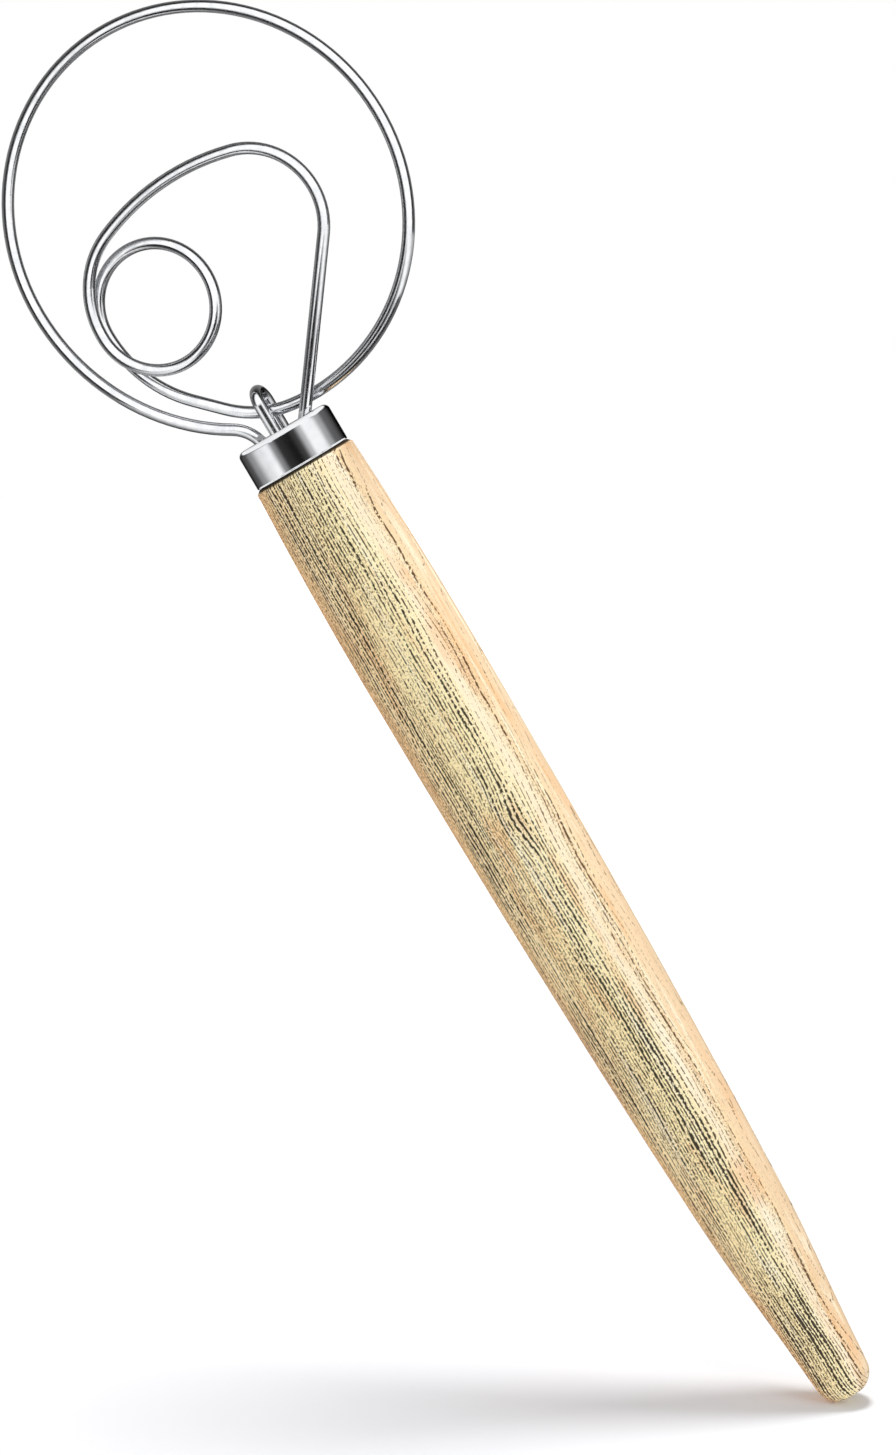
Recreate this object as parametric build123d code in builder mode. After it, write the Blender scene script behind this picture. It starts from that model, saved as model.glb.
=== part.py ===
from build123d import *
from collections import namedtuple
from math import acos, asin, atan2, ceil, cos, degrees, dist, pi, radians, sin, sqrt
import os

os.makedirs("parts", exist_ok=True)

# A dough whisk that lies flat. One stainless wire makes its head: a big open ring, a small
# eye and a teardrop inside it. Both ends of the wire and the two legs of a small hook, which
# holds the ring's closing stretch, are potted in a bore of the turned handle, behind a ferrule.
#
# The origin is the centre of the flat butt end. +X runs along the handle to the head, +Y is to
# the left of someone who looks that way, and +Z is up, square to the loops. Millimetres.

# Handle, turned
handle_length = 238.5
butt_flat_radius = 3.0
butt_radius = 6.45
butt_round = 4.7
belly_radius = 13.25
belly_place = 190.0
shoulder_radius = 12.0
shoulder_edge = 0.9
taper_shares = ((0.56, 0.853), (0.25, 0.563), (0.14, 0.344), (0, 0))

# Ferrule, a drawn cup
ferrule_radius = 11.4
ferrule_length = 9.0
ferrule_wall = 0.8
ferrule_edge = 1.4
ferrule_inner_edge = 0.6
seam_gap = 0.15

# Tenon inside the ferrule, and the bore for the potting
tenon_fit = 0.1
tenon_seat = 0.2
tenon_chamfer = 0.9
tenon_wall = 3.0
bore_depth = 24.0
bore_flare = 1.5

# Wire of the head and of the hook
wire_diameter = 2.8
crossing_gap = 0.6
hole_clearance = 0.15
potting_gap = 0.05
potting_sink = 1.1
bore_side_gap = 0.7
bore_end_gap = 2.0

# Bends of the head, all measured on the wire's centre line.
# An offset is sideways from the handle's axis, a rise is along it from the ferrule's face.
entry_bend_radius = 9.0
flare_radius = 50.0
ring_radius = 45.7
ring_offset = 10.2
ring_face_gap = 1.7
throat_radius = 25.0
rise_radius = 30.0
eye_radius = 13.9
eye_offset = 10.7
eye_rise = 37.0
flank_radius = 20.0
crown_radius = 57.0
corner_radius = 16.4
corner_offset = 19.0
corner_rise = 42.1
exit_bend_radius = 5.0
exit_bend_depth = 3.5

# Headings in degrees: 0 runs to the tip, 90 to the right
quarter_turn = 90
half_turn = 180
full_turn = 360
flare_end_heading = 0
throat_heading = 278
rise_end_heading = 0
flank_heading = 357

# Hook, bent from the same wire
hook_offset = 1.2
hook_clearance = 0.2
hook_top_gap = 2.2
hook_end_gap = 7.0

# Sampling of the wire for the printed least gap
sample_step = 0.5
touch_share = 0.001

# Places along the handle's axis
ferrule_mouth = handle_length + seam_gap
face_place = ferrule_mouth + ferrule_length
tenon_end = face_place - ferrule_wall - tenon_seat
bore_end = tenon_end - bore_depth
wire_end_place = bore_end + bore_end_gap
hook_end_place = bore_end + hook_end_gap

# Radii that follow from the values above
tenon_radius = ferrule_radius - ferrule_wall - tenon_fit
bore_radius = tenon_radius - tenon_wall
wire_radius = wire_diameter / 2
hole_radius = wire_radius + hole_clearance
end_offset = bore_radius - bore_side_gap - wire_radius

# The wire's levels above and below the middle of the handle
front_level = (wire_diameter + crossing_gap) / 2
back_level = -front_level

# How far the wire turns in all between the two straight ends
whole_route_turn = 2 * full_turn + half_turn

# Where the wire sinks and where it climbs: from one amount of turning to another, and how far
sink_end_turn = half_turn + quarter_turn
climb_start_turn = full_turn + quarter_turn
climb_end_turn = climb_start_turn + half_turn
climbs = (
    (0, sink_end_turn, back_level),
    (climb_start_turn, climb_end_turn, front_level - back_level),
)

# A bend of the wire. A positive radius turns right, a negative one turns left.
Bend = namedtuple("Bend", "centre radius")


def aim(heading):
    """Unit vector of a heading in the plane of the loops."""
    return Vector(cos(radians(heading)), -sin(radians(heading)), 0)


def heading_of(vector):
    """Heading of a vector in the plane of the loops."""
    return degrees(atan2(-vector.Y, vector.X))


def place_on(bend, heading):
    """Where the wire on a bend has a heading."""
    return bend.centre + aim(heading - quarter_turn) * bend.radius


def nested(bend, radius, heading):
    """Bend of another radius that touches this one where the wire has a heading."""
    return Bend(bend.centre + aim(heading - quarter_turn) * (bend.radius - radius), radius)


def bridging(first, second, radius):
    """Bend of a radius larger than both that the wire takes from one bend to the next."""
    across = second.centre - first.centre
    first_reach = radius - first.radius
    second_reach = radius - second.radius
    along = (across.length**2 + first_reach**2 - second_reach**2) / (2 * across.length)
    aside = sqrt(first_reach**2 - along**2)
    line = heading_of(across)
    return Bend(first.centre + aim(line) * along + aim(line + quarter_turn) * aside, radius)


def handover(first, second):
    """Heading of the wire between two bends, at the touch or on the straight run."""
    across = second.centre - first.centre
    lean = (first.radius - second.radius) / across.length
    return heading_of(across) + quarter_turn - degrees(acos(max(-1, min(1, lean))))


def eased(share):
    """Smooth step from 0 to 1."""
    return (1 - cos(pi * min(1, max(0, share)))) / 2


def quickness(share):
    """How fast the smooth step rises there."""
    return pi * sin(pi * min(1, max(0, share))) / 2


def mark(bend, turned):
    """A place of the wire and its direction there, after so many degrees of turning right."""
    place = place_on(bend, turned)
    height = 0
    slope = 0
    for start, end, climb in climbs:
        share = (turned - start) / (end - start)
        height += climb * eased(share)
        slope += climb * quickness(share) / radians(end - start) / bend.radius
    direction = aim(turned) + Vector(0, 0, slope)
    return Vector(place.X, place.Y, height), direction.normalized()


def marks_along(bends):
    """Marks of the wire through all its bends, at most a quarter turn apart."""
    marks = []
    turned = 0
    for bend, following in zip(bends, bends[1:] + [None]):
        heading = handover(bend, following) if following else half_turn
        turn = (heading - turned) % full_turn
        if bend.radius < 0:
            turn -= full_turn
        steps = ceil(abs(turn) / quarter_turn)
        for step in range(steps + 1):
            place, direction = mark(bend, turned + turn * step / steps)
            if not marks or (place - marks[-1][0]).length > wire_diameter * touch_share:
                marks.append((place, direction))
        turned += turn
    return marks


def draw_span(start, start_direction, end, end_direction):
    """A straight run, or two arcs that pass smoothly from one mark to the next."""
    span = end - start
    if span.cross(start_direction).length < wire_diameter * touch_share:
        Line(start, end)
        return
    both = start_direction + end_direction
    spread = 2 * (1 - start_direction.dot(end_direction))
    reach = span.dot(both)
    arm = (sqrt(reach**2 + spread * span.dot(span)) - reach) / spread
    joint = (start + end + (start_direction - end_direction) * arm) / 2
    TangentArc(start, joint, tangent=start_direction)
    TangentArc(end, joint, tangent=-end_direction)


def draw_route(marks):
    """The wire's centre line through its marks."""
    for (start, start_direction), (end, end_direction) in zip(marks, marks[1:]):
        draw_span(start, start_direction, end, end_direction)


def least_gap(points, thickness, apart):
    """Least free space between stretches of the wire that are not neighbours along it."""
    nearest = min(
        dist(points[first], points[second])
        for first in range(len(points))
        for second in range(first + apart, len(points))
    )
    return nearest - thickness


# Bends of the head in the order that the wire takes them
ring_place = face_place + ring_face_gap + wire_radius + ring_radius
ring = Bend(Vector(ring_place, -ring_offset, 0), ring_radius)
flare = nested(ring, flare_radius, flare_end_heading)

entry_offset = end_offset + entry_bend_radius
entry_across = entry_offset - flare.centre.Y
entry_along = sqrt((flare_radius + entry_bend_radius) ** 2 - entry_across**2)
entry_bend = Bend(Vector(flare.centre.X - entry_along, entry_offset, 0), -entry_bend_radius)

throat = nested(ring, throat_radius, throat_heading)
eye = Bend(Vector(face_place + eye_rise, eye_offset, 0), eye_radius)
rise = nested(eye, rise_radius, rise_end_heading)
flank = nested(eye, flank_radius, flank_heading)
corner = Bend(Vector(face_place + corner_rise, -corner_offset, 0), corner_radius)
crown = bridging(flank, corner, crown_radius)
exit_offset = end_offset + exit_bend_radius
exit_bend = Bend(Vector(face_place - exit_bend_depth, -exit_offset, 0), -exit_bend_radius)

bends = [entry_bend, flare, ring, throat, rise, eye, flank, crown, corner, exit_bend]
bend_marks = marks_along(bends)
to_tip = Vector(1, 0, 0)
left_end = Vector(wire_end_place, end_offset, 0)
right_end = Vector(wire_end_place, -end_offset, front_level)
wire_marks = [(left_end, to_tip)] + bend_marks + [(right_end, -to_tip)]

with BuildLine() as wire_route:
    draw_route(wire_marks)

# The hook's centre line: two legs and a half round turn over the ring's closing stretch
hook_reach = wire_radius + hook_clearance + wire_radius
hook_across = hook_offset - throat.centre.Y
held_wire_place = throat.centre.X - sqrt(throat_radius**2 - hook_across**2)
hook_top = held_wire_place + wire_radius + hook_top_gap + wire_radius
hook_turn_place = hook_top - hook_reach
hook_low = back_level - hook_reach
hook_high = back_level + hook_reach

low_leg_end = Vector(hook_end_place, hook_offset, hook_low)
high_leg_end = Vector(hook_end_place, hook_offset, hook_high)

with BuildLine() as hook_route:
    low_leg = Line(low_leg_end, (hook_turn_place, hook_offset, hook_low))
    high_leg = Line((hook_turn_place, hook_offset, hook_high), high_leg_end)
    ThreePointArc(low_leg @ 1, (hook_top, hook_offset, back_level), high_leg @ 0)

# Where each wire passes the wall of the ferrule's face, and its direction there
wall_place = face_place - ferrule_wall / 2
entry_turn = degrees(asin((wall_place - entry_bend.centre.X) / entry_bend.radius))
exit_turn = degrees(asin((wall_place - exit_bend.centre.X) / exit_bend.radius))
passes = (
    mark(entry_bend, entry_turn),
    mark(exit_bend, whole_route_turn - exit_turn),
    (Vector(wall_place, hook_offset, hook_low), to_tip),
    (Vector(wall_place, hook_offset, hook_high), to_tip),
)

# The resin ends below the first bend of any wire in it
potting_start = bore_end + potting_gap
potting_end = min(entry_bend.centre.X, exit_bend.centre.X) - potting_sink

# Handle: a barrel that swells to the hand and tapers to a rounded butt, with its tenon and bore
with BuildPart() as handle:
    with BuildSketch(Plane.XY):
        with BuildLine():
            place = (belly_place, belly_radius)
            TangentArc(place, (handle_length, shoulder_radius), tangent=(1, 0))
            direction = (-1, 0)
            for along_share, swell_share in taper_shares:
                lower_place = (
                    butt_round + (belly_place - butt_round) * along_share,
                    butt_radius + (belly_radius - butt_radius) * swell_share,
                )
                stretch = TangentArc(place, lower_place, tangent=direction)
                place, direction = lower_place, stretch % 1
            TangentArc(place, (0, butt_flat_radius), tangent=direction)
            Polyline(
                (handle_length, shoulder_radius),
                (handle_length, tenon_radius),
                (tenon_end, tenon_radius),
                (tenon_end, 0),
                (0, 0),
                (0, butt_flat_radius),
            )
        make_face()
    revolve(axis=Axis.X)
    shoulder_circles = handle.faces().filter_by(Plane.YZ).sort_by(Axis.X)[1].edges()
    chamfer(shoulder_circles.sort_by(SortBy.RADIUS)[-1], shoulder_edge)
    chamfer(handle.edges().group_by(Axis.X)[-1], tenon_chamfer)
    with BuildSketch(Plane.YZ.offset(tenon_end)):
        Circle(bore_radius)
    extrude(amount=-bore_depth, mode=Mode.SUBTRACT)
    chamfer(handle.edges().group_by(Axis.X)[-1].sort_by(SortBy.RADIUS)[0], bore_flare)

# Ferrule: a cup pressed on the tenon, with a fitted hole for each wire and each leg of the hook
with BuildPart() as ferrule:
    with BuildSketch(Plane.YZ.offset(ferrule_mouth)):
        Circle(ferrule_radius)
    extrude(amount=ferrule_length)
    fillet(ferrule.edges().sort_by(Axis.X)[-1], ferrule_edge)
    with BuildSketch(Plane.YZ.offset(ferrule_mouth)):
        Circle(ferrule_radius - ferrule_wall)
    extrude(amount=ferrule_length - ferrule_wall, mode=Mode.SUBTRACT)
    inner_edge = ferrule.faces().filter_by(Plane.YZ).sort_by(Axis.X)[1].edges()[0]
    chamfer(inner_edge, ferrule_inner_edge)
    for place, direction in passes:
        with BuildSketch(Plane(origin=place, z_dir=direction)):
            Circle(hole_radius)
        extrude(amount=ferrule_wall + wire_diameter, both=True, mode=Mode.SUBTRACT)

# Wire of the head, one length from bore to bore
with BuildPart() as whisk_wire:
    with BuildSketch(Plane(origin=left_end, z_dir=to_tip)):
        Circle(wire_radius)
    sweep(path=wire_route.line)

# Hook over the ring's closing stretch
with BuildPart() as retaining_hook:
    with BuildSketch(Plane(origin=low_leg_end, z_dir=to_tip)):
        Circle(wire_radius)
    sweep(path=hook_route.wire())

# Potting: resin cast round the four wire ends
with BuildPart() as epoxy_plug:
    with BuildSketch(Plane.YZ.offset(potting_start)):
        Circle(bore_radius - potting_gap)
    extrude(amount=potting_end - potting_start)
    for place in (left_end, right_end, low_leg_end, high_leg_end):
        with BuildSketch(Plane(origin=place, z_dir=to_tip)):
            Circle(wire_radius + potting_gap)
        extrude(amount=bore_depth, mode=Mode.SUBTRACT)

# The wire's length, its volume against its section and its least gap to itself
centre_line = wire_route.wire()
samples = ceil(centre_line.length / sample_step)
points = [tuple(centre_line.position_at(step / samples)) for step in range(samples + 1)]
neighbours = ceil(2 * pi * wire_diameter / sample_step)
print("length of the wire", round(centre_line.length, 1))
print("volume", round(whisk_wire.part.volume, 1), "section times length",
      round(pi * wire_radius**2 * centre_line.length, 1))
print("least gap of the wire to itself", round(least_gap(points, wire_diameter, neighbours), 2))

for name, piece in (
    ("handle", handle),
    ("ferrule", ferrule),
    ("whisk_wire", whisk_wire),
    ("retaining_hook", retaining_hook),
    ("epoxy_plug", epoxy_plug),
):
    piece.part.label = name
    export_step(piece.part, f"parts/{name}.step")
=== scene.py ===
from math import cos, pi, radians, sin

import bpy
from mathutils import Matrix, Vector

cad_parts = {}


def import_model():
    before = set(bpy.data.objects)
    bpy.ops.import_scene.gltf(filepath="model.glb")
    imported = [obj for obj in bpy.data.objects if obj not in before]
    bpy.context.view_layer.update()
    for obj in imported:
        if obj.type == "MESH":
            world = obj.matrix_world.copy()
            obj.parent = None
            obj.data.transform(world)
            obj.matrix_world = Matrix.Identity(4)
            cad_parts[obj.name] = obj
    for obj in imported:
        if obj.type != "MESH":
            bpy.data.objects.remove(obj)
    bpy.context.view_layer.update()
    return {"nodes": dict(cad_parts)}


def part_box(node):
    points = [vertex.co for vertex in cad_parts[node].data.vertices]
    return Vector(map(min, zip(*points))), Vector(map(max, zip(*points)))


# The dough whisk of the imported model, photographed as it stands on its butt against white.
# The frame's X runs along the handle to the head, and Z is square to the wire's loops. Metres.
#
# A smooth step is written as from and to, and after these what it gives there, if not 0 and 1.
# Angles round the handle are in degrees from the camera's side, and grow to the right.

MM = 0.001

# The picture: its axes in the frame, and the place at its middle
CAMERA_ROLL = 20.0
CAMERA_RISE = 3.0
PICTURE_LEAN = 30.6
MIDDLE_ALONG = 172.5 * MM
MIDDLE_ACROSS = -2.0 * MM
LENS = 200.0
SENSOR = 36.0
PICTURE_HEIGHT = 320.1 * MM
NEAREST_SEEN = 0.1
FARTHEST_SEEN = 20

WHITE = (1.0, 1.0, 1.0, 1.0)
NOISE_MIDDLE = (0.5, 0.5, 0.5)

# Keeps only the part of a place that lies across the handle
ACROSS = (0, 1, 1)


def colour(red, green, blue):
    """Linear colour of an sRGB colour from 0 to 255."""
    def linear(value):
        share = value / 255
        return share / 12.92 if share <= 0.04045 else ((share + 0.055) / 1.055) ** 2.4
    return (linear(red), linear(green), linear(blue), 1.0)


def grey(value):
    """A number as the colour that a mix or a ramp takes."""
    return (value, value, value, 1.0)


class Graph:
    """A node tree that grows by short calls. A socket is linked, and any other value is set."""

    def __init__(self, tree):
        self.tree = tree
        tree.nodes.clear()

    def fill(self, socket, value):
        """Link a socket to another, or set it to a value."""
        if isinstance(value, bpy.types.NodeSocket):
            self.tree.links.new(value, socket)
        else:
            socket.default_value = value

    def node(self, kind, inputs=(), **settings):
        """A new node with its settings and its inputs."""
        made = self.tree.nodes.new(kind)
        for name, value in settings.items():
            setattr(made, name, value)
        for key, value in dict(inputs).items():
            self.fill(made.inputs[key], value)
        return made

    def math(self, operation, *values):
        """Arithmetic on numbers."""
        inputs = dict(enumerate(values))
        return self.node("ShaderNodeMath", inputs, operation=operation).outputs[0]

    def vector(self, operation, *values, out=0):
        """Arithmetic on places and directions."""
        inputs = dict(enumerate(values))
        return self.node("ShaderNodeVectorMath", inputs, operation=operation).outputs[out]

    def noise(self, place, detail, roughness=0.5, out="Fac"):
        """Noise whose waves are one unit of the place long."""
        inputs = {"Vector": place, "Scale": 1.0, "Detail": detail, "Roughness": roughness}
        return self.node("ShaderNodeTexNoise", inputs).outputs[out]

    def between(self, value, low, high, to_low=0.0, to_high=1.0):
        """Smooth step from one value to another."""
        inputs = {"Value": value, 1: low, 2: high, 3: to_low, 4: to_high}
        made = self.node("ShaderNodeMapRange", inputs, interpolation_type="SMOOTHSTEP")
        return made.outputs[0]

    def mix(self, share, first, second):
        """From one colour to another by a share."""
        inputs = {"Factor": share, "A": first, "B": second}
        made = self.node("ShaderNodeMix", data_type="RGBA")
        for socket in made.inputs:
            if socket.enabled and socket.name in inputs:
                self.fill(socket, inputs[socket.name])
        return next(socket for socket in made.outputs if socket.enabled)

    def mix_shaders(self, share, first, second):
        """From one shader to another by a share."""
        inputs = {0: share, 1: first, 2: second}
        return self.node("ShaderNodeMixShader", inputs).outputs[0]

    def glow(self, strength):
        """White light of its own."""
        inputs = {"Color": WHITE, "Strength": strength}
        return self.node("ShaderNodeEmission", inputs).outputs[0]

    def ramp(self, value, stops):
        """Colour or number by a value from 0 to 1, eased between the stops."""
        made = self.node("ShaderNodeValToRGB", {"Fac": value})
        made.color_ramp.interpolation = "EASE"
        elements = made.color_ramp.elements
        while len(elements) < len(stops):
            elements.new(0.5)
        for element, (place, tone) in zip(elements, stops):
            element.position = place
            element.color = tone if isinstance(tone, tuple) else grey(tone)
        return made.outputs[0]

    def bump(self, height, distance, strength, normal=None):
        """Fine relief that the light shows, on top of another if one is given."""
        inputs = {"Height": height, "Distance": distance, "Strength": strength}
        if normal:
            inputs["Normal"] = normal
        return self.node("ShaderNodeBump", inputs).outputs["Normal"]


def new_material(name):
    """A new material that takes nodes."""
    material = bpy.data.materials.new(name)
    material.use_nodes = True
    return material


class Surface(Graph):
    """A material with one shader, and the place on the piece in millimetres."""

    def __init__(self, name):
        self.material = new_material(name)
        super().__init__(self.material.node_tree)
        metres = self.node("ShaderNodeTexCoord").outputs["Object"]
        self.place = self.vector("SCALE", metres)
        self.place.node.inputs["Scale"].default_value = 1 / MM
        self.along = self.node("ShaderNodeSeparateXYZ", {0: self.place}).outputs[0]

    def grain(self, waves, detail, **settings):
        """Noise with so many waves in a millimetre along X, Y and Z."""
        return self.noise(self.vector("MULTIPLY", self.place, waves), detail, **settings)

    def shade(self, sockets):
        """The material, once its shader has its inputs."""
        shader = self.node("ShaderNodeBsdfPrincipled", sockets)
        self.node("ShaderNodeOutputMaterial", {"Surface": shader.outputs[0]})
        return self.material


# Axes of the picture in the frame
roll = radians(CAMERA_ROLL)
rise = radians(CAMERA_RISE)
lean = radians(PICTURE_LEAN)
ALONG = Vector((1, 0, 0))
FRONT = Vector((0, -sin(roll), cos(roll)))
RIGHT = Vector((0, -cos(roll), -sin(roll)))
TO_CAMERA = (ALONG * sin(rise) + FRONT * cos(rise)).normalized()
ALONG_SEEN = (ALONG * cos(rise) - FRONT * sin(rise)).normalized()
PICTURE_RIGHT = RIGHT * cos(lean) - ALONG_SEEN * sin(lean)
PICTURE_UP = ALONG_SEEN * cos(lean) + RIGHT * sin(lean)
MIDDLE = ALONG * MIDDLE_ALONG + RIGHT * MIDDLE_ACROSS


def studio(right, up, front):
    """Place in the studio, measured from the picture's middle along the picture's axes."""
    return MIDDLE + PICTURE_RIGHT * right + PICTURE_UP * up + TO_CAMERA * front


def spoke(angle):
    """Direction straight away from the handle's axis at an angle round the handle."""
    return FRONT * cos(radians(angle)) + RIGHT * sin(radians(angle))


# Waves of the wood's noises in a millimetre, along the grain and twice across it
WANDER_GRAIN = (1 / 60, 1 / 14, 1 / 14)
RIPPLE_GRAIN = (1 / 14, 1 / 3.0, 1 / 3.0)
SWAY_GRAIN = (1 / 38, 1 / 14, 1 / 14)
PATCH_GRAIN = (1 / 26, 1 / 3, 1 / 3)
BLOTCH_GRAIN = (1 / 30, 1 / 5, 1 / 5)
STREAK_GRAIN = (1 / 50, 1 / 1.6, 1 / 1.6)
DASH_GRAIN = (1.5, 1.8, 1.8)
STIPPLE_GRAIN = (2.2, 5.0, 5.0)
FIBRE_GRAIN = (0.2, 6.0, 6.0)

# The rings of a tree whose heart lies beside the handle, cut along the grain. Millimetres, and
# waves of their width in a millimetre.
RING_WIDTH = 0.74
WIDTH_WAVES = 0.5
HEART_DISTANCE = 60.0
HEART_ANGLE = 100.0
HEART_DRIFT = -0.018

# How far the grain strays sideways, most in the smooth pale band, and sways round the handle
WANDER_DEPTH = 3.0
RIPPLE_DEPTH = 0.8
PALE_BAND_WANDER = (radians(8), radians(30), 1.0, 2.0)
SWAY_ANGLE = 0.5

# A small knot below the surface turns the grain aside near the middle of the handle
KNOT_PLACE = 148.0
KNOT_ANGLE = -8.0
KNOT_GIRTH = 13.0
KNOT_LENGTHENING = 2
KNOT_STEP = (0.0, 12.0, 1.0, 0.0)
KNOT_PUSH = 1.3

# The butt's end grain, by the distance from the axis: where it is, and what it shows
END_GRAIN = (1.5, 6.0, 1.0, 0.0)
END_ROWS = grey(0.42)
END_STIPPLING = grey(0.6)
END_TONE = colour(248, 226, 176)

# Angles round the handle, and the share of a ring that its row of pores takes there. The butt's
# half and the head's half differ, and the rows are stronger next to the butt.
BUTT_ROWS = (
    (-180, 0.36), (-140, 0.28), (-112, 0.15), (-88, 0.1), (-66, 0.3), (-54, 0.5), (-46, 0.6),
    (-36, 0.34), (-20, 0.36), (-11, 0.58), (6, 0.58), (12, 0.46), (17, 0.3), (24, 0.2),
    (32, 0.2), (36, 0.48), (41, 0.32), (47, 0.1), (120, 0.12), (180, 0.36),
)
HEAD_ROWS = (
    (-180, 0.36), (-140, 0.28), (-112, 0.15), (-88, 0.1), (-66, 0.28), (-54, 0.56), (-45, 0.66),
    (-34, 0.68), (-28, 0.36), (-14, 0.4), (-4, 0.48), (8, 0.47), (13, 0.36), (18, 0.24),
    (33, 0.18), (38, 0.48), (44, 0.22), (50, 0.1), (120, 0.12), (180, 0.36),
)
BUTT_TO_HEAD = (118, 142)
BUTT_STRENGTH = (14.0, 45.0, 1.3, 1.0)

# The rows differ from year to year and from patch to patch, and gaps part their dashes
YEAR_STRENGTH = (0.0, 1.0, 0.75, 1.15)
PATCH_STRENGTH = (0.3, 0.65, 0.6, 1.2)
DASH_GAPS = (0.36, 0.54, 0.5, 0.0)
PORE_EDGE = (-0.04, 0.1)

# Angles round the handle, and how densely fine pores are strewn between the rows there
STIPPLING = (
    (-180, 0.5), (-95, 0.6), (-60, 0.8), (-45, 0.55), (-30, 0.75), (-12, 0.6), (10, 0.4),
    (17, 0.15), (28, 0.1), (34, 0.6), (40, 0.5), (46, 0.1), (85, 0.05), (180, 0.5),
)
PATCH_DENSITY = (0.3, 0.6, 0.7, 1.0)
STIPPLE_GAIN = 0.24
STIPPLE_EDGE = (0.68, 0.73)

# Angles round the handle, and the wood's tone there. Besides the wood's own tone, these are
# painted light and shade: orange on the shaded left flank, a paler, whiter band just right of
# the middle that is partly a painted highlight, and darker on the lamp-lit right flank
WOOD_TONES_AND_PAINTED_LIGHT = (
    (-180, colour(244, 220, 176)),
    (-100, colour(255, 192, 132)),
    (-68, colour(255, 216, 158)),
    (-50, colour(255, 230, 180)),
    (-28, colour(254, 234, 182)),
    (0, colour(254, 240, 190)),
    (14, colour(253, 238, 194)),
    (24, colour(250, 233, 202)),
    (33, colour(247, 228, 192)),
    (40, colour(244, 217, 174)),
    (54, colour(236, 208, 170)),
    (90, colour(220, 190, 152)),
    (130, colour(242, 215, 172)),
    (180, colour(244, 220, 176)),
)

# Warm blotches and fibres, and pale streaks, which are stronger away from the left flank
WARM = colour(236, 180, 124)
PALE = colour(254, 246, 220)
WARM_BLOTCHES = (0.5, 0.68, 0.0, 0.5)
WARM_FIBRES = (0.5, 0.75, 0.0, 0.4)
KNOT_WARMTH = 0.2
PALE_STREAKS = (0.5, 0.7)
PALE_SIDE = (radians(-50), radians(-15), 0.2, 0.6)

# Ink of the fine pores and of the rows. Both turn rusty on the left flank, and the rows turn
# faint from the smooth pale band on to the right.
SPECK = colour(112, 74, 36)
RUSTY_SPECK = colour(112, 50, 18)
PORE = colour(28, 17, 6)
RUSTY_PORE = colour(96, 44, 16)
FAINT_PORE = colour(96, 66, 38)
RUSTY_SIDE = (radians(-74), radians(-58), 1.0, 0.0)
FAINT_SIDE = (radians(9), radians(20), 0.0, 0.8)
SPECK_STRENGTH = 0.62
RUSTY_STRENGTH = 0.2
PORE_STRENGTH = 0.95

# Painted shade: the shoulder is darkened where it meets the ferrule, as the seam's shadow
SEAM_PAINTED_SHADE = (237.7, 238.1)
SEAM_SHADE_STRENGTH = 0.95

# The wood's dull finish, with the pores as dents
FIBRE_ROUGHNESS = (0.3, 0.8, 0.42, 0.58)
PORE_ROUGHNESS = 0.25
FIBRE_HEIGHT = 0.25
WOOD_RELIEF = 0.04 * MM
WOOD_RELIEF_STRENGTH = 0.5
WOOD_SPECULAR = 0.3


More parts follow.
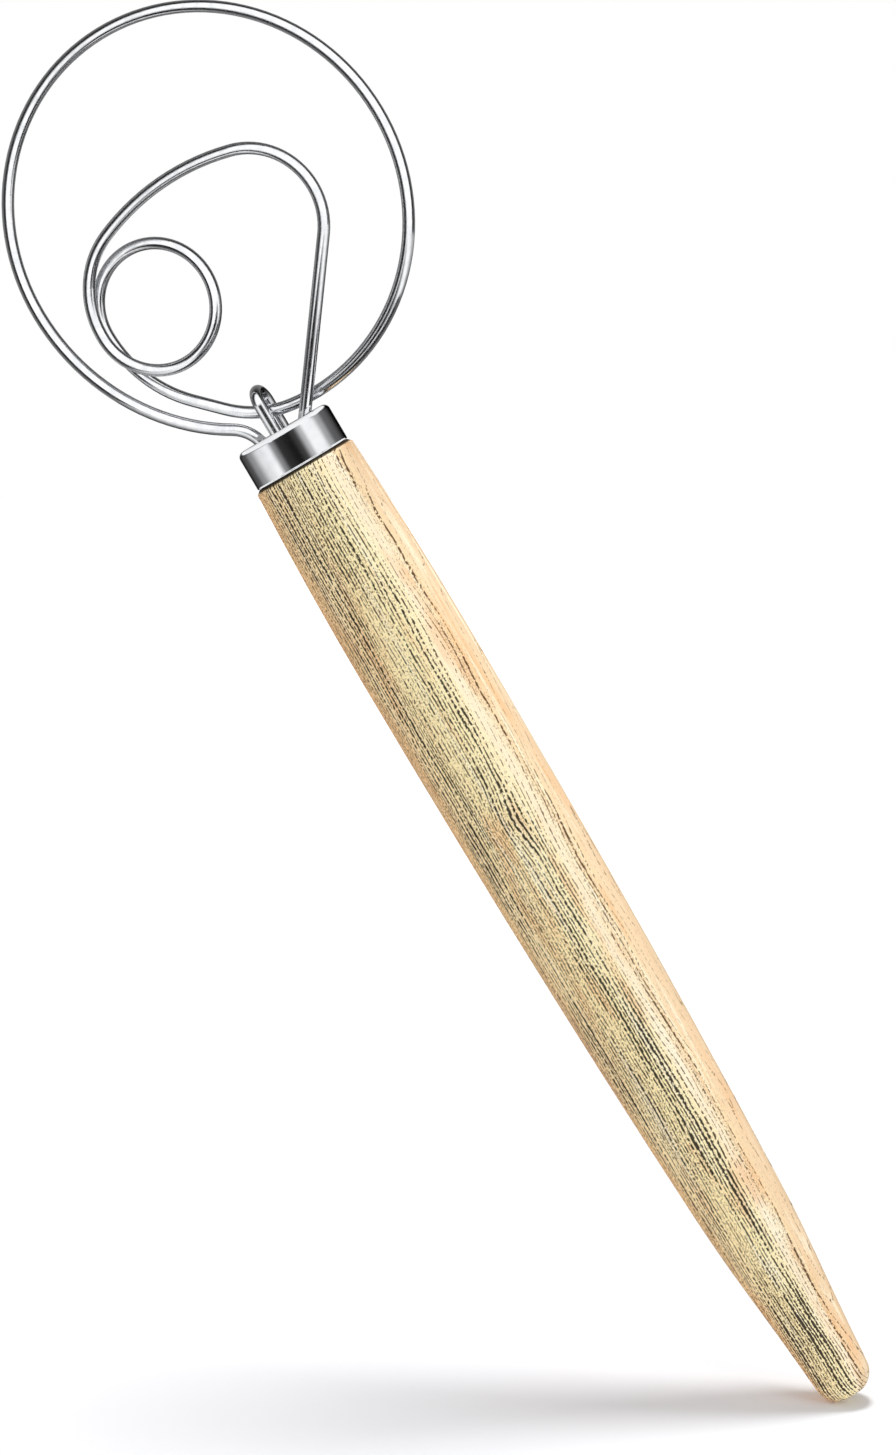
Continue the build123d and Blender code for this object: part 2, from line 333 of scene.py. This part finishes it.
class Wood(Surface):
    """The turned handle's wood."""

    def __init__(self, name):
        super().__init__(name)
        self.cross = self.vector("MULTIPLY", self.place, ACROSS)
        front = self.vector("DOT_PRODUCT", self.cross, tuple(FRONT), out="Value")
        right = self.vector("DOT_PRODUCT", self.cross, tuple(RIGHT), out="Value")
        sway = self.math("SUBTRACT", self.grain(SWAY_GRAIN, detail=2.0), 0.5)
        angle = self.math("ARCTAN2", right, front)
        self.angle = self.math("MULTIPLY_ADD", sway, SWAY_ANGLE, angle)
        self.around = self.math("MULTIPLY_ADD", self.angle, 1 / (2 * pi), 0.5)
        off_axis = self.vector("LENGTH", self.cross, out="Value")
        self.end_grain = self.between(off_axis, *END_GRAIN)
        self.knot = self.near_knot()
        self.patch = self.grain(PATCH_GRAIN, detail=2.0)
        self.fibres = self.grain(FIBRE_GRAIN, detail=3.0, roughness=0.6)

    def by_angle(self, stops):
        """Tone or number by the angle round the handle."""
        return self.ramp(self.around, [(0.5 + angle / 360, tone) for angle, tone in stops])

    def near_knot(self):
        """How near the knot is, from 0 to 1. It is longer along the grain than across."""
        spot = spoke(KNOT_ANGLE) * KNOT_GIRTH + ALONG * KNOT_PLACE
        squeeze = (1, KNOT_LENGTHENING, KNOT_LENGTHENING)
        middle = tuple(value * factor for value, factor in zip(spot, squeeze))
        place = self.vector("MULTIPLY", self.place, squeeze)
        apart = self.vector("DISTANCE", place, middle, out="Value")
        return self.between(apart, *KNOT_STEP)

    def shift(self, waves, detail):
        """Noise round nought, which moves the grain to every side."""
        noise = self.grain(waves, detail, out="Color")
        return self.vector("SUBTRACT", noise, NOISE_MIDDLE)

    def rings(self):
        """The tree's rings, counted from its heart, with the grain's wandering."""
        more = self.between(self.angle, *PALE_BAND_WANDER)
        more = self.node("ShaderNodeCombineXYZ", {"X": 0.0, "Y": more, "Z": more}).outputs[0]
        wander = self.vector("MULTIPLY", self.shift(WANDER_GRAIN, detail=2.0), more)
        depth = (0, WANDER_DEPTH, WANDER_DEPTH)
        cross = self.vector("MULTIPLY_ADD", wander, depth, self.cross)
        depth = (0, RIPPLE_DEPTH, RIPPLE_DEPTH)
        cross = self.vector("MULTIPLY_ADD", self.shift(RIPPLE_GRAIN, detail=3.0), depth, cross)
        side = radians(HEART_ANGLE)
        heart = (0, sin(side) * HEART_DISTANCE, -cos(side) * HEART_DISTANCE)
        reach = self.vector("DISTANCE", cross, heart, out="Value")
        reach = self.math("MULTIPLY_ADD", self.along, HEART_DRIFT, reach)
        reach = self.math("MULTIPLY_ADD", self.knot, KNOT_PUSH, reach)
        inputs = {"W": reach, "Scale": WIDTH_WAVES, "Detail": 1.0}
        years = self.node("ShaderNodeTexNoise", inputs, noise_dimensions="1D").outputs[0]
        return self.math("ADD", years, self.math("DIVIDE", reach, RING_WIDTH))

    def pores(self):
        """Each ring holds a row of pores, which show as dark dashes along the grain."""
        rings = self.rings()
        number = {"W": self.math("FLOOR", rings)}
        year = self.node("ShaderNodeTexWhiteNoise", number, noise_dimensions="1D").outputs[0]
        half = self.between(self.along, *BUTT_TO_HEAD)
        rows = self.mix(half, self.by_angle(BUTT_ROWS), self.by_angle(HEAD_ROWS))
        rows = self.mix(self.end_grain, rows, END_ROWS)
        rows = self.math("MULTIPLY", rows, self.between(self.along, *BUTT_STRENGTH))
        rows = self.math("MULTIPLY", rows, self.between(year, *YEAR_STRENGTH))
        rows = self.math("MULTIPLY", rows, self.between(self.patch, *PATCH_STRENGTH))
        dashes = self.grain(DASH_GRAIN, detail=1.0, roughness=0.4)
        rows = self.math("SUBTRACT", rows, self.between(dashes, *DASH_GAPS))
        aside = self.math("SUBTRACT", self.math("FRACT", rings), 0.5)
        aside = self.math("ABSOLUTE", aside)
        return self.between(self.math("MULTIPLY_ADD", aside, -2.0, rows), *PORE_EDGE)

    def stipple(self):
        """Finer pores are strewn between the rows."""
        strewn = self.mix(self.end_grain, self.by_angle(STIPPLING), END_STIPPLING)
        dense = self.math("MULTIPLY", self.between(self.patch, *PATCH_DENSITY), strewn)
        fine = self.grain(STIPPLE_GRAIN, detail=1.0)
        return self.between(self.math("MULTIPLY_ADD", dense, STIPPLE_GAIN, fine), *STIPPLE_EDGE)

    def bare_tone_and_painted_light(self):
        """The wood between its pores, with painted light and shade by the side round the handle.
        """
        # Painted light and shade: the tone round the handle is orange on the shaded left, partly
        # a painted highlight right of the middle, and darker on the lamp-lit right
        tone = self.mix(self.end_grain, self.by_angle(WOOD_TONES_AND_PAINTED_LIGHT), END_TONE)
        blotch = self.grain(BLOTCH_GRAIN, detail=3.0)
        blotch = self.math("MULTIPLY_ADD", self.knot, KNOT_WARMTH, blotch)
        tone = self.mix(self.between(blotch, *WARM_BLOTCHES), tone, WARM)
        pale = self.between(self.grain(STREAK_GRAIN, detail=2.0), *PALE_STREAKS)
        pale = self.math("MULTIPLY", pale, self.between(self.angle, *PALE_SIDE))
        tone = self.mix(pale, tone, PALE)
        return self.mix(self.between(self.fibres, *WARM_FIBRES), tone, WARM)

    def inked_tone(self, pores, stipple):
        """The wood with its pores and the painted shade at the seam."""
        rusty = self.between(self.angle, *RUSTY_SIDE)
        rusty = self.math("MULTIPLY", rusty, self.math("SUBTRACT", 1.0, self.end_grain))
        speck = self.mix(rusty, SPECK, RUSTY_SPECK)
        strength = self.math("MULTIPLY_ADD", rusty, RUSTY_STRENGTH, SPECK_STRENGTH)
        tone = self.mix(self.math("MULTIPLY", stipple, strength), self.bare_tone_and_painted_light(), speck)
        ink = self.mix(self.between(self.angle, *FAINT_SIDE), PORE, FAINT_PORE)
        ink = self.mix(rusty, ink, RUSTY_PORE)
        tone = self.mix(self.math("MULTIPLY", pores, PORE_STRENGTH), tone, ink)
        # Painted shade: the shoulder turns to the pores' dark ink where it meets the ferrule
        seam_shade = self.between(self.along, *SEAM_PAINTED_SHADE)
        return self.mix(self.math("MULTIPLY", seam_shade, SEAM_SHADE_STRENGTH), tone, PORE)


def turned_wood():
    """The handle's material."""
    wood = Wood("turned_wood")
    pores = wood.pores()
    stipple = wood.stipple()
    rough = wood.between(wood.fibres, *FIBRE_ROUGHNESS)
    solid = wood.math("SUBTRACT", 1.0, wood.math("MAXIMUM", pores, stipple))
    height = wood.math("MULTIPLY_ADD", wood.fibres, FIBRE_HEIGHT, solid)
    return wood.shade({
        "Base Color": wood.inked_tone(pores, stipple),
        "Roughness": wood.math("MULTIPLY_ADD", pores, PORE_ROUGHNESS, rough),
        "Normal": wood.bump(height, WOOD_RELIEF, WOOD_RELIEF_STRENGTH),
        "Specular IOR Level": WOOD_SPECULAR,
    })


# Ferrule: polished steel with lathe lines, smudges and scratches, and a lip rolled at its mouth
STEEL = (colour(246, 247, 249), colour(236, 238, 241))
SMUDGE_GRAIN = (0.35, 0.25, 0.25)
SMUDGE_TONE = (0.35, 0.7)
SMUDGE_ROUGHNESS = (0.3, 0.75, 0.05, 0.1)
SCRATCH_GRAIN = (3.0, 18.0, 1.2)
SCRATCH_EDGE = (0.62, 0.72)
LATHE_GRAIN = (24.0, 0.05, 0.05)
LATHE_RELIEF = 0.003 * MM
LATHE_STRENGTH = 0.5
LIP = (238.65, 239.1)
LIP_RELIEF = 0.16 * MM
LIP_STRENGTH = 1.0

# Wire: drawn steel, duller than the ferrule, mottled and finely specked
WIRE = (colour(250, 251, 253), colour(238, 240, 243))
MOTTLE_GRAIN = (0.5, 0.5, 0.5)
MOTTLE_TONE = (0.4, 0.7)
MOTTLE_ROUGHNESS = (0.3, 0.75, 0.14, 0.22)
SPECK_GRAIN = (4.0, 4.0, 4.0)
SPECK_EDGE = (0.6, 0.75)
SPECK_RELIEF = 0.002 * MM
SPECK_RELIEF_STRENGTH = 0.3

# How much rougher a scratch or a speck is than the metal round it
MARK_ROUGHNESS = 0.08


def worn_metal(metal, tones, cloud, tone_step, roughness_step, marks):
    """Inputs of a metal that is cloudy in tone and gloss, and rougher at its marks."""
    rough = metal.between(cloud, *roughness_step)
    return {
        "Base Color": metal.mix(metal.between(cloud, *tone_step), *tones),
        "Roughness": metal.math("MULTIPLY_ADD", marks, MARK_ROUGHNESS, rough),
        "Metallic": 1.0,
    }


def polished_steel():
    """The ferrule's material."""
    metal = Surface("polished_steel")
    smudge = metal.grain(SMUDGE_GRAIN, detail=3.0)
    scratches = metal.between(metal.grain(SCRATCH_GRAIN, detail=2.0), *SCRATCH_EDGE)
    inputs = worn_metal(metal, STEEL, smudge, SMUDGE_TONE, SMUDGE_ROUGHNESS, scratches)
    lathed = metal.bump(metal.grain(LATHE_GRAIN, detail=3.0), LATHE_RELIEF, LATHE_STRENGTH)
    lip = metal.between(metal.along, *LIP)
    inputs["Normal"] = metal.bump(lip, LIP_RELIEF, LIP_STRENGTH, lathed)
    return metal.shade(inputs)


def drawn_wire():
    """The material of the wire and of the hook."""
    metal = Surface("drawn_wire")
    mottle = metal.grain(MOTTLE_GRAIN, detail=3.0)
    specks = metal.grain(SPECK_GRAIN, detail=2.0)
    marks = metal.between(specks, *SPECK_EDGE)
    inputs = worn_metal(metal, WIRE, mottle, MOTTLE_TONE, MOTTLE_ROUGHNESS, marks)
    inputs["Normal"] = metal.bump(specks, SPECK_RELIEF, SPECK_RELIEF_STRENGTH)
    return metal.shade(inputs)


# Resin: cloudy, with bubbles
RESIN = (colour(206, 190, 156), colour(150, 126, 88))
CLOUD_GRAIN = (0.4, 0.4, 0.4)
CLOUD_TONE = (0.35, 0.7)
BUBBLE_GRAIN = (3.0, 3.0, 3.0)
BUBBLE_ROUGHNESS = (0.4, 0.8, 0.2, 0.4)
BUBBLE_RELIEF = 0.05 * MM
BUBBLE_STRENGTH = 0.4
RESIN_DEPTH = 1.5 * MM
RESIN_CLEARNESS = 0.2


def cast_resin():
    """The epoxy plug's material."""
    resin = Surface("cast_resin")
    cloud = resin.between(resin.grain(CLOUD_GRAIN, detail=3.0), *CLOUD_TONE)
    bubbles = resin.grain(BUBBLE_GRAIN, detail=1.0)
    return resin.shade({
        "Base Color": resin.mix(cloud, *RESIN),
        "Roughness": resin.between(bubbles, *BUBBLE_ROUGHNESS),
        "Normal": resin.bump(bubbles, BUBBLE_RELIEF, BUBBLE_STRENGTH),
        "Subsurface Weight": RESIN_CLEARNESS,
        "Subsurface Scale": RESIN_DEPTH,
    })


def dress(piece, material):
    """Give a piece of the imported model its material."""
    piece.data.materials.clear()
    piece.data.materials.append(material)


def stage_mesh(name, points, faces, material):
    """A mesh of the studio, which isn't part of the object."""
    mesh = bpy.data.meshes.new(name)
    mesh.from_pydata([tuple(point) for point in points], [], faces)
    mesh.materials.append(material)
    made = bpy.data.objects.new(name, mesh)
    bpy.context.scene.collection.objects.link(made)
    return made


# The floor tilts towards the camera. It glows to the eye far from the overhead lamp's spot, so
# that it ends in white, and it sends light of one strength to the object.
FLOOR_HALF = 0.8
FLOOR_TILT = 16.0
FLOOR_TONE = (0.695, 0.70, 0.72, 1.0)
FLOOR_GLOW = (0.16, 0.6, 0.02, 0.6)
FLOOR_BOUNCE = 1.12

tilt = radians(FLOOR_TILT)
FLOOR_NORMAL = PICTURE_UP * cos(tilt) + TO_CAMERA * sin(tilt)
FLOOR_AWAY = PICTURE_UP * sin(tilt) - TO_CAMERA * cos(tilt)


def foot_of(node):
    """The point of a node that stands on the floor."""
    places = [vertex.co.copy() for vertex in node.data.vertices]
    return min(places, key=lambda place: place.dot(FLOOR_NORMAL))


def table_white(spot):
    """The floor's material. It is seen from above only."""
    material = new_material("table_white")
    graph = Graph(material.node_tree)
    path = graph.node("ShaderNodeLightPath").outputs
    place = graph.node("ShaderNodeTexCoord").outputs["Object"]
    apart = graph.vector("DISTANCE", place, tuple(spot), out="Value")
    glow = graph.math("MULTIPLY", path["Is Camera Ray"], graph.between(apart, *FLOOR_GLOW))
    paper = graph.node("ShaderNodeBsdfDiffuse", {"Color": FLOOR_TONE}).outputs[0]
    lit = graph.node("ShaderNodeAddShader", {0: paper, 1: graph.glow(glow)}).outputs[0]
    lit = graph.mix_shaders(path["Is Diffuse Ray"], lit, graph.glow(FLOOR_BOUNCE))
    below = graph.node("ShaderNodeNewGeometry").outputs["Backfacing"]
    clear = graph.node("ShaderNodeBsdfTransparent").outputs[0]
    both = graph.mix_shaders(below, lit, clear)
    graph.node("ShaderNodeOutputMaterial", {"Surface": both})
    return material


def floor(foot, spot):
    """The white table that the butt stands on."""
    corners = [
        foot + PICTURE_RIGHT * (FLOOR_HALF * right) + FLOOR_AWAY * (FLOOR_HALF * away)
        for right, away in ((-1, -1), (1, -1), (1, 1), (-1, 1))
    ]
    table = stage_mesh("floor", corners, [(0, 1, 2, 3)], table_white(spot))
    table.visible_glossy = False


# The world's strength to all but the eye and metal
WORLD_STRENGTH = 0.64

# In metal the studio is white in front, and its bright side is the upper right. Round the back
# it turns black at once, and from there it is slowly lighter.
BRIGHT_LEAN = 14.0
WHITE_TO = 54.0
BLACK_FROM = 66.0
BLACK = 0.0
FAR_GREY = 0.25
METAL_WHITE = 1.08


def world():
    """Soft light from all round. The background is white to the eye."""
    sky = bpy.data.worlds.new("studio_white")
    bpy.context.scene.world = sky
    sky.use_nodes = True
    graph = Graph(sky.node_tree)
    path = graph.node("ShaderNodeLightPath").outputs
    side = (PICTURE_RIGHT + PICTURE_UP).normalized()
    leaning = radians(BRIGHT_LEAN)
    bright = TO_CAMERA * cos(leaning) + side * sin(leaning)
    direction = graph.node("ShaderNodeTexCoord").outputs["Generated"]
    facing = graph.vector("DOT_PRODUCT", direction, tuple(bright), out="Value")
    horizon = cos(radians(BLACK_FROM))
    white = graph.between(facing, horizon, cos(radians(WHITE_TO)), 0.0, METAL_WHITE)
    far = graph.between(facing, horizon, -1.0, BLACK, FAR_GREY)
    metal = graph.math("ADD", white, far)
    eye = graph.math("MAXIMUM", path["Is Camera Ray"], path["Is Transmission Ray"])
    plain = graph.math("MULTIPLY_ADD", eye, 1 - WORLD_STRENGTH, WORLD_STRENGTH)
    other = graph.math("SUBTRACT", 1.0, path["Is Glossy Ray"])
    plain = graph.math("MULTIPLY", plain, other)
    strength = graph.math("MULTIPLY_ADD", metal, path["Is Glossy Ray"], plain)
    back = graph.node("ShaderNodeBackground", {"Color": WHITE, "Strength": strength})
    graph.node("ShaderNodeOutputWorld", {"Surface": back.outputs[0]})


# Two soft lamps: name, place to the right, up and to the front, size and power
LAMPS = (
    ("key", (0.85, 0.35, 1.0), 0.6, 4.6),
    ("fill", (-0.9, 1.0, 0.35), 0.4, 2.2),
)

# The lamp above the floor, which casts the shadow. Its spot is to the left of the foot.
OVERHEAD_ASIDE = 0.09
OVERHEAD_HEIGHT = 1.3
OVERHEAD_LEAN = 0.05
OVERHEAD_SIZE = 0.38
OVERHEAD_POWER = 12.5


def lamp(name, place, aim, size, power):
    """A round lamp that shines from a place to another. The eye and metal don't see it."""
    data = bpy.data.lights.new(name, "AREA")
    data.shape = "DISK"
    data.size = size
    data.energy = power
    made = bpy.data.objects.new(name, data)
    bpy.context.scene.collection.objects.link(made)
    made.location = place
    made.rotation_mode = "QUATERNION"
    made.rotation_quaternion = (aim - place).to_track_quat("-Z", "Y")
    made.visible_camera = False
    made.visible_glossy = False


def lamps(spot):
    """All the lamps of the studio."""
    for name, place, size, power in LAMPS:
        lamp(name, studio(*place), MIDDLE, size, power)
    over = spot + PICTURE_UP * OVERHEAD_HEIGHT + TO_CAMERA * OVERHEAD_LEAN
    lamp("overhead", over, spot, OVERHEAD_SIZE, OVERHEAD_POWER)


def only_reflected(piece):
    """A reflector is seen in metal alone."""
    piece.visible_camera = False
    piece.visible_diffuse = False
    piece.visible_shadow = False
    piece.visible_transmission = False


def strip_faces(count, closed):
    """Faces of a strip whose points come in pairs, one pair after the other."""
    last = count if closed else count - 2
    return [(at, at + 1, (at + 3) % count, (at + 2) % count) for at in range(0, last, 2)]


# The sleeve round the ferrule, and its tones by the angle round the handle
SLEEVE_RADIUS = 55.0 * MM
SLEEVE_MARGIN = 16.0 * MM
SLEEVE_HALF = 156
SLEEVE_STEP = 4
SLEEVE_TONES = (
    (-150, 0.01),
    (-118, 0.08),
    (-96, 0.3),
    (-68, 0.82),
    (-48, 1.0),
    (-34, 0.25),
    (-22, 0.03),
    (2, 0.01),
    (16, 0.05),
    (30, 0.5),
    (40, 1.0),
    (60, 1.0),
    (77, 0.4),
    (96, 0.12),
    (140, 0.0),
)


def tone_at(angle):
    """Tone of the sleeve at an angle, smooth between the given ones."""
    if angle <= SLEEVE_TONES[0][0]:
        return SLEEVE_TONES[0][1]
    for (start, first), (end, second) in zip(SLEEVE_TONES, SLEEVE_TONES[1:]):
        if angle <= end:
            share = (1 - cos(pi * (angle - start) / (end - start))) / 2
            return first + (second - first) * share
    return SLEEVE_TONES[-1][1]


def sleeve(low, high):
    """A banded sleeve round the ferrule, which draws the dark and bright bands in its polish."""
    points = []
    tones = []
    for angle in range(-SLEEVE_HALF, SLEEVE_HALF + 1, SLEEVE_STEP):
        for end in (low - SLEEVE_MARGIN, high + SLEEVE_MARGIN):
            points.append(spoke(angle) * SLEEVE_RADIUS + ALONG * end)
            tones.append(tone_at(angle))
    material = new_material("reflector")
    graph = Graph(material.node_tree)
    tone = graph.node("ShaderNodeAttribute", attribute_name="tone").outputs["Fac"]
    graph.node("ShaderNodeOutputMaterial", {"Surface": graph.glow(tone)})
    made = stage_mesh("reflector", points, strip_faces(len(points), False), material)
    made.data.attributes.new("tone", "FLOAT", "POINT").data.foreach_set("value", tones)
    only_reflected(made)


# White rings across the sleeve, one at each end of the ferrule, which whiten its rounded edges.
# They are grey towards the axis, and are seen in what is near them and faces them.
CAP_STEP = 15
CAP_RADIUS = 24.0 * MM
CAP_TONE = (5.0 * MM, 12.0 * MM, 0.3, 1.0)
CAP_SIGHT = 5.0 * MM
HEAD_CAP_GAP = 1.2 * MM
HEAD_CAP_BORE = 1.0 * MM
BUTT_CAP_GAP = 1.0 * MM
BUTT_CAP_BORE = 12.3 * MM

# Between the first and the second mirroring of a ray
MIRRORED_ONCE = 1.5


def cap_white(name):
    """A cap's material. It is clear from behind, from afar and in a second mirroring."""
    material = new_material(name)
    graph = Graph(material.node_tree)
    place = graph.node("ShaderNodeTexCoord").outputs["Object"]
    off_axis = graph.vector("LENGTH", graph.vector("MULTIPLY", place, ACROSS), out="Value")
    glow = graph.glow(graph.between(off_axis, *CAP_TONE))
    path = graph.node("ShaderNodeLightPath").outputs
    behind = graph.node("ShaderNodeNewGeometry").outputs["Backfacing"]
    far = graph.math("GREATER_THAN", path["Ray Length"], CAP_SIGHT)
    again = graph.math("GREATER_THAN", path["Glossy Depth"], MIRRORED_ONCE)
    hidden = graph.math("MAXIMUM", behind, graph.math("MAXIMUM", far, again))
    clear = graph.node("ShaderNodeBsdfTransparent").outputs[0]
    both = graph.mix_shaders(hidden, glow, clear)
    graph.node("ShaderNodeOutputMaterial", {"Surface": both})
    return material


def cap(name, end, bore, faces_head):
    """A ring across the sleeve, which is seen on the side that it faces."""
    points = []
    for angle in range(0, 360, CAP_STEP):
        points.append(spoke(angle) * bore + ALONG * end)
        points.append(spoke(angle) * CAP_RADIUS + ALONG * end)
    faces = strip_faces(len(points), True)
    if not faces_head:
        faces = [face[::-1] for face in faces]
    only_reflected(stage_mesh(name, points, faces, cap_white(name)))


def reflectors():
    """What the ferrule's polish mirrors."""
    low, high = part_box("ferrule")
    sleeve(low.x, high.x)
    cap("butt_cap", low.x - BUTT_CAP_GAP, BUTT_CAP_BORE, True)
    cap("head_cap", high.x + HEAD_CAP_GAP, HEAD_CAP_BORE, False)


def camera():
    """The photograph's view."""
    data = bpy.data.cameras.new("camera")
    data.lens = LENS
    data.sensor_width = SENSOR
    data.clip_start = NEAREST_SEEN
    data.clip_end = FARTHEST_SEEN
    made = bpy.data.objects.new("camera", data)
    bpy.context.scene.collection.objects.link(made)
    distance = PICTURE_HEIGHT * LENS / SENSOR
    axes = Matrix((PICTURE_RIGHT, PICTURE_UP, TO_CAMERA)).transposed()
    made.matrix_world = Matrix.Translation(MIDDLE + TO_CAMERA * distance) @ axes.to_4x4()
    bpy.context.scene.camera = made


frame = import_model()
nodes = frame["nodes"]

camera()
world()
foot = foot_of(nodes["handle"])
spot = foot - PICTURE_RIGHT * OVERHEAD_ASIDE
floor(foot, spot)
reflectors()
lamps(spot)

dress(nodes["handle"], turned_wood())
dress(nodes["ferrule"], polished_steel())
wire_material = drawn_wire()
dress(nodes["whisk_wire"], wire_material)
dress(nodes["retaining_hook"], wire_material)
dress(nodes["epoxy_plug"], cast_resin())

bpy.context.scene.view_settings.view_transform = "Standard"
